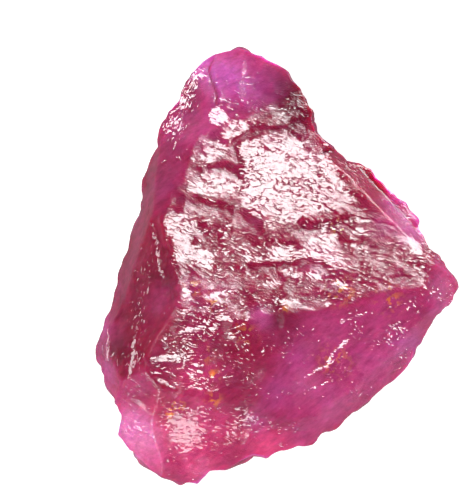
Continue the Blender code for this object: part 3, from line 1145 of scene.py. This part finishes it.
@dataclass(frozen=True)
class RubyFinish:
    """Translucent ruby: deep crimson where it is thick, violet pink where it is thin, under a glassy skin.
    The glow where light shines through its thin and lower parts, and the shade in its hollows and on faces
    turned from the light, are painted into its colour.

    Each pattern is a noise, each span is the part of a noise or channel that counts, and the limit that the
    flakes pass to be a tread falls from few to many as treads abound. Streaks and grit are as deep as given
    in millimetres, and the swirl and the glow reach as far as given in metres.
    """

    crimson: Colour = (0.34, 0.01, 0.065)
    tints: tuple[Tint, ...] = (
        Tint(Channel.VIOLET, colour=(0.57, 0.07, 0.26), cloudy=0.2, start=0.0),
        # A painted glow that brightens the lower parts, as of light shining through them from behind.
        Tint(Channel.PAINTED_BACKLIGHT, colour=(0.95, 0.07, 0.27), cloudy=0.15, start=0.15),
        # A painted pale glow where light shines through the thin parts.
        Tint(Channel.PAINTED_GLOW, colour=(0.87, 0.26, 0.5), cloudy=0.08, most=0.9),
        # A painted lilac glow on thin edges, and a painted sheen along a ridge.
        Tint(Channel.LILAC_GLOW, colour=(0.68, 0.13, 0.55), cloudy=0.1),
    )
    clouds: Pattern = Pattern(300.0, 4.0)
    cloud_span: Point2 = (0.35, 0.65)
    # The colour of tiny orange flecks.
    orange_fleck: Colour = (0.9, 0.3, 0.05)
    flecks: Pattern = Pattern(2600.0, 2.0)
    fleck_span: Point2 = (0.52, 0.6)
    # The near black crimson of a painted shade in the hollows and on faces turned from the light, partly the
    # stone's deeper tone; how far it darkens, and the span of hollowness that it darkens.
    deep: Colour = (0.12, 0.0, 0.02)
    most_darkening: float = 0.7
    crease_shade_span: Point2 = (0.06, 0.5)
    veins: Pattern = Pattern(3200.0, 6.0, 0.65, 35.0, (2.2, 1.0, 1.4))
    vein_span: Point2 = (0.3, 0.7)
    mottle: Point2 = (0.74, 1.28)

    swirls: Pattern = Pattern(700.0, 1.0)
    swirl: float = 0.0005
    flakes_across: Pattern = Pattern(8000.0, 6.0, 0.6, ACROSS, (2.8, 1.0, 1.4))
    flakes_upright: Pattern = Pattern(8000.0, 6.0, 0.6, UPRIGHT, (7.0, 1.0, 1.4))
    few: float = 0.68
    many: float = 0.4
    crowds: Pattern = Pattern(600.0, 3.0)
    crowd_span: Point2 = (0.3, 0.7)
    crowding: Point2 = (-0.07, 0.07)
    ragged: float = 0.025
    slope: float = 0.06
    edges: float = 0.35
    cracks: Pattern = Pattern(2200.0, 3.0, 0.55, ACROSS, (2.0, 1.0, 1.4))
    crack_span: Point2 = (0.85, 1.0)
    crack_width: Point2 = (0.035, 0.0105)
    facing_span: Point2 = (0.25, 0.45)

    streak_depth: Point2 = (0.012, 0.04)
    grit: Pattern = Pattern(9000.0, 1.0)
    grit_depth: float = 0.003
    sways: Pattern = Pattern(2400.0, 4.0)
    sway: float = 0.22

    matte: float = 0.2
    gloss: float = 0.14
    ior: float = 1.77
    glow: float = 1.0
    glow_radius: Point3 = (1.0, 0.12, 0.32)
    glow_depth: float = 0.0022
    clearness: float = 0.25
    haze: Colour = (0.92, 0.1, 0.5)
    haze_density: float = 160.0

    def material(self) -> bpy.types.Material:
        """Makes the material: its treads, its colours, its relief and the plain numbers of its shader.

        Returns:
            The material.
        """
        made = bpy.data.materials.new("ruby")
        made.use_nodes = True
        wires = StoneWiring(made.node_tree)
        flakes = self.flakes(wires)
        tread = self.treads(wires, flakes)
        fed = {
            "Base Color": self.colour(wires),
            "Roughness": wires.range(tread, UNIT, (self.matte, self.gloss)),
            "Normal": self.normal(wires, flakes, tread),
            "IOR": self.ior,
            "Subsurface Weight": self.glow,
            "Subsurface Radius": self.glow_radius,
            "Subsurface Scale": self.glow_depth,
            "Transmission Weight": self.clearness,
        }
        shader = made.node_tree.nodes["Principled BSDF"]
        for name, value in fed.items():
            wires.feed(shader.inputs[name], value)
        haze = wires.node("VolumeAbsorption", Color=opaque(self.haze), Density=self.haze_density)
        wires.feed(made.node_tree.nodes["Material Output"].inputs["Volume"], haze.outputs[0])
        return made

    def colour(self, wires: StoneWiring) -> Socket:
        """Mixes the stone's colours by its channels.

        Formula: crimson, then each tint in turn by its channel and a little cloud, then orange flecks, then a
        painted shade that darkens the hollows and the darker patches, partly the stone's deeper tone, and a
        mottle of slanting veins. The pale, lilac and bright tints are a painted glow, where light shines
        through the thin and lower parts.

        Args:
            wires: The material's nodes.

        Returns:
            The colour.
        """
        cloud = wires.range(wires.noise(wires.place, self.clouds), self.cloud_span, (-1.0, 1.0))
        mixed = opaque(self.crimson)
        for tint in self.tints:
            extra = wires.maths("MULTIPLY", cloud, tint.cloudy)
            clouded = wires.maths("ADD", wires.channel[tint.channel], extra)
            share = wires.range(clouded, (tint.start, 1.0), (0.0, tint.most))
            mixed = wires.blend(share, mixed, opaque(tint.colour))
        # Tiny orange flecks.
        flecks = wires.range(wires.noise(wires.place, self.flecks), self.fleck_span)
        orange_flecked = wires.maths("MULTIPLY", wires.channel[Channel.ORANGE_FLECK], flecks)
        mixed = wires.blend(orange_flecked, mixed, opaque(self.orange_fleck))
        # Painted shade: the hollows, and the patches on faces turned from the light, go towards a near black
        # crimson; the patches are partly the stone's deeper tone.
        hollow = wires.range(wires.channel[Channel.HOLLOW], self.crease_shade_span)
        shade_and_tone = wires.maths("MAXIMUM", wires.channel[Channel.SHADE_AND_DEEP_TONE], hollow)
        mixed = wires.blend(wires.maths("MULTIPLY", shade_and_tone, self.most_darkening), mixed, opaque(self.deep))
        veins = wires.range(wires.noise(wires.place, self.veins), self.vein_span, self.mottle)
        return wires.vectors("SCALE", i0=mixed, Scale=veins)

    def flakes(self, wires: StoneWiring) -> Socket:
        """Gives a fine noise that is drawn out along the grain, across the stone or upright.

        Args:
            wires: The material's nodes.

        Returns:
            The noise's value, about a half.
        """
        swirled = wires.wander(wires.place, wires.place, self.swirls, self.swirl)
        across = wires.noise(swirled, self.flakes_across)
        upright = wires.noise(swirled, self.flakes_upright)
        return wires.blend_numbers(wires.channel[Channel.UPRIGHT], across, upright)

    def treads(self, wires: StoneWiring, flakes: Socket) -> Socket:
        """Gives how much each place is a tread.

        Formula: it is one where the flakes are above a limit, which falls as the share of treads grows, but
        not in the cracks along another noise's middle value, which are narrower where treads abound, nor
        where the surface faces far away from the crystal's plane.

        Args:
            wires: The material's nodes.
            flakes: The fine noise.

        Returns:
            A share from 0 to 1.
        """
        limit = wires.range(wires.channel[Channel.TREADS], UNIT, (self.few, self.many))
        crowd = wires.range(wires.noise(wires.place, self.crowds), self.crowd_span, self.crowding)
        above = wires.maths("SUBTRACT", flakes, wires.maths("ADD", limit, crowd))
        flat = wires.range(above, (0.0, self.ragged), (0.0, 1.0 - self.edges))
        edge = wires.range(above, (-self.slope, 0.0), (0.0, self.edges))
        tread = wires.maths("ADD", flat, edge)
        off = wires.maths("ABSOLUTE", wires.maths("SUBTRACT", wires.noise(wires.place, self.cracks), 0.5))
        width = wires.range(wires.channel[Channel.TREADS], self.crack_span, self.crack_width)
        whole = wires.maths("MULTIPLY", tread, wires.range(off, (0.0, width)))
        own = wires.node("NewGeometry").outputs["Normal"]
        alike = wires.vectors("DOT_PRODUCT", "Value", i0=own, i1=wires.plane())
        return wires.maths("MULTIPLY", whole, wires.range(alike, self.facing_span))

    def normal(self, wires: StoneWiring, flakes: Socket, tread: Socket) -> Socket:
        """Gives the way that the skin faces.

        Formula: between the treads it is the surface's own way, disturbed by fine streaks and grit. On a
        tread it is the crystal plane's, swayed a little by a noise.

        Args:
            wires: The material's nodes.
            flakes: The fine noise.
            tread: How much each place is a tread.

        Returns:
            The shading normal.
        """
        depth = wires.range(wires.channel[Channel.BROKEN], UNIT, self.streak_depth)
        grit = wires.maths("MULTIPLY", wires.noise(wires.place, self.grit), self.grit_depth)
        height = wires.maths("ADD", wires.maths("MULTIPLY", flakes, depth), grit)
        rough = wires.node("Bump", Strength=1.0, Distance=MM, Height=height).outputs[0]
        swayed = wires.wander(wires.plane(), wires.place, self.sways, self.sway)
        mixed = wires.node("Mix", {"data_type": "VECTOR"}, i0=tread, i4=rough, i5=swayed).outputs[1]
        return wires.vectors("NORMALIZE", i0=mixed)


# The studio ------------------------------------------------------------------------------------------


@dataclass(frozen=True)
class PaleFloor:
    """A plain white table, large enough to fill the view. It glows, except where the stone mirrors it."""

    side: float = 3.0
    colour: Colour = (0.5, 0.5, 0.5)
    mirrored: Colour = (0.3, 0.27, 0.28)
    glow: float = 0.85
    roughness: float = 0.9

    def material(self) -> bpy.types.Material:
        """Makes the table's matt paint, which is duller and without its glow in a mirror.

        Returns:
            The material.
        """
        paint = bpy.data.materials.new("table")
        paint.use_nodes = True
        wires = Wiring(paint.node_tree)
        in_mirror = wires.node("LightPath").outputs["Is Glossy Ray"]
        fed = {
            "Base Color": wires.blend(in_mirror, opaque(self.colour), opaque(self.mirrored)),
            "Emission Strength": wires.range(in_mirror, UNIT, (self.glow, 0.0)),
            "Emission Color": opaque(WHITE),
            "Roughness": self.roughness,
            "Specular IOR Level": 0.0,
        }
        shader = paint.node_tree.nodes["Principled BSDF"]
        for name, value in fed.items():
            wires.feed(shader.inputs[name], value)
        return paint

    def build(self) -> bpy.types.Object:
        """Makes the floor, a flat sheet under the stone.

        Returns:
            The floor's object.
        """
        half = self.side / 2.0
        mesh = bpy.data.meshes.new("table")
        corners = [(-half, -half, 0.0), (half, -half, 0.0), (half, half, 0.0), (-half, half, 0.0)]
        mesh.from_pydata(corners, [], [(0, 1, 2, 3)])
        mesh.materials.append(self.material())
        floor = bpy.data.objects.new("table", mesh)
        bpy.context.scene.collection.objects.link(floor)
        return floor


@dataclass(frozen=True)
class Softbox:
    """A soft square light that looks at the stone from afar. A polarised one isn't mirrored by its skin."""

    name: str
    towards: Point3
    distance: float
    size: float
    power: float
    mirrored: bool = True
    aim: Point3 = (0.0, 0.0, 0.006)

    def build(self) -> None:
        """Hangs the light along its direction from the stone's middle, turned to it."""
        lamp = bpy.data.lights.new(self.name, "AREA")
        lamp.size, lamp.energy = self.size, self.power
        hung = bpy.data.objects.new(self.name, lamp)
        away = Vector(self.towards).normalized()
        hung.location = Vector(self.aim) + away * self.distance
        hung.rotation_euler = away.to_track_quat("Z", "Y").to_euler()
        hung.visible_glossy = self.mirrored
        bpy.context.scene.collection.objects.link(hung)


@dataclass(frozen=True)
class Studio:
    """A room with a pale horizon, its soft lights, and the camera that looks straight down on the stone.

    The horizon's light turns into the sky's between two heights, where 0 is level and 1 straight up.
    """

    sky: float = 0.07
    horizon: float = 0.2
    between: Point2 = (0.1, 0.4)
    lights: tuple[Softbox, ...] = (
        Softbox("key_softbox", (0.7085, 0.6442, 0.2883), distance=0.6, size=0.31, power=3.3),
        Softbox("key_halo", (0.7085, 0.6442, 0.2883), distance=0.66, size=0.42, power=0.5),
        Softbox("front_softbox", (-0.3325, -0.7226, 0.606), distance=0.8, size=0.34, power=2.4),
        Softbox("high_fill", (-0.5188, 0.0556, 0.8531), distance=0.8, size=0.7, power=4.8, mirrored=False),
        Softbox("front_fill", (-0.1, -0.85, 0.45), distance=0.8, size=0.6, power=2.4, mirrored=False),
    )
    eye: Point3 = (-0.00276, 0.00093, 0.2545)
    lens: float = 300.0
    sensor: float = 36.0
    clip: Point2 = (0.01, 10.0)

    def light_room(self) -> None:
        """Makes the sky and hangs the lights."""
        world = bpy.data.worlds.new("room")
        world.use_nodes = True
        sky = world.node_tree.nodes["Background"]
        wires = Wiring(world.node_tree)
        height = wires.node("SeparateXYZ", i0=wires.node("TexCoord").outputs["Generated"]).outputs["Z"]
        wires.feed(sky.inputs["Color"], opaque(WHITE))
        wires.feed(sky.inputs["Strength"], wires.range(height, self.between, (self.horizon, self.sky)))
        bpy.context.scene.world = world
        for light in self.lights:
            light.build()

    def build(self) -> None:
        """Lights the room and hangs the camera."""
        self.light_room()
        scene = bpy.context.scene
        scene.view_settings.view_transform = "Standard"
        camera = bpy.data.cameras.new("camera")
        camera.lens, camera.sensor_width = self.lens, self.sensor
        camera.clip_start, camera.clip_end = self.clip
        hung = bpy.data.objects.new("camera", camera)
        hung.location = self.eye
        scene.collection.objects.link(hung)
        scene.camera = hung


def main() -> None:
    """Builds the stone, then the studio."""
    logging.basicConfig(level=logging.INFO, format="%(message)s")
    stone = RubyStone(StoneForm(), BrokenSkin(ZONES)).build()
    stone.data.materials.append(RubyFinish().material())
    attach(stone, "root")
    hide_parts("ruby_crystal")
    LOG.info("raw_ruby: %d faces", len(stone.data.polygons))
    PaleFloor().build()
    Studio().build()


if __name__ == "__main__":
    main()
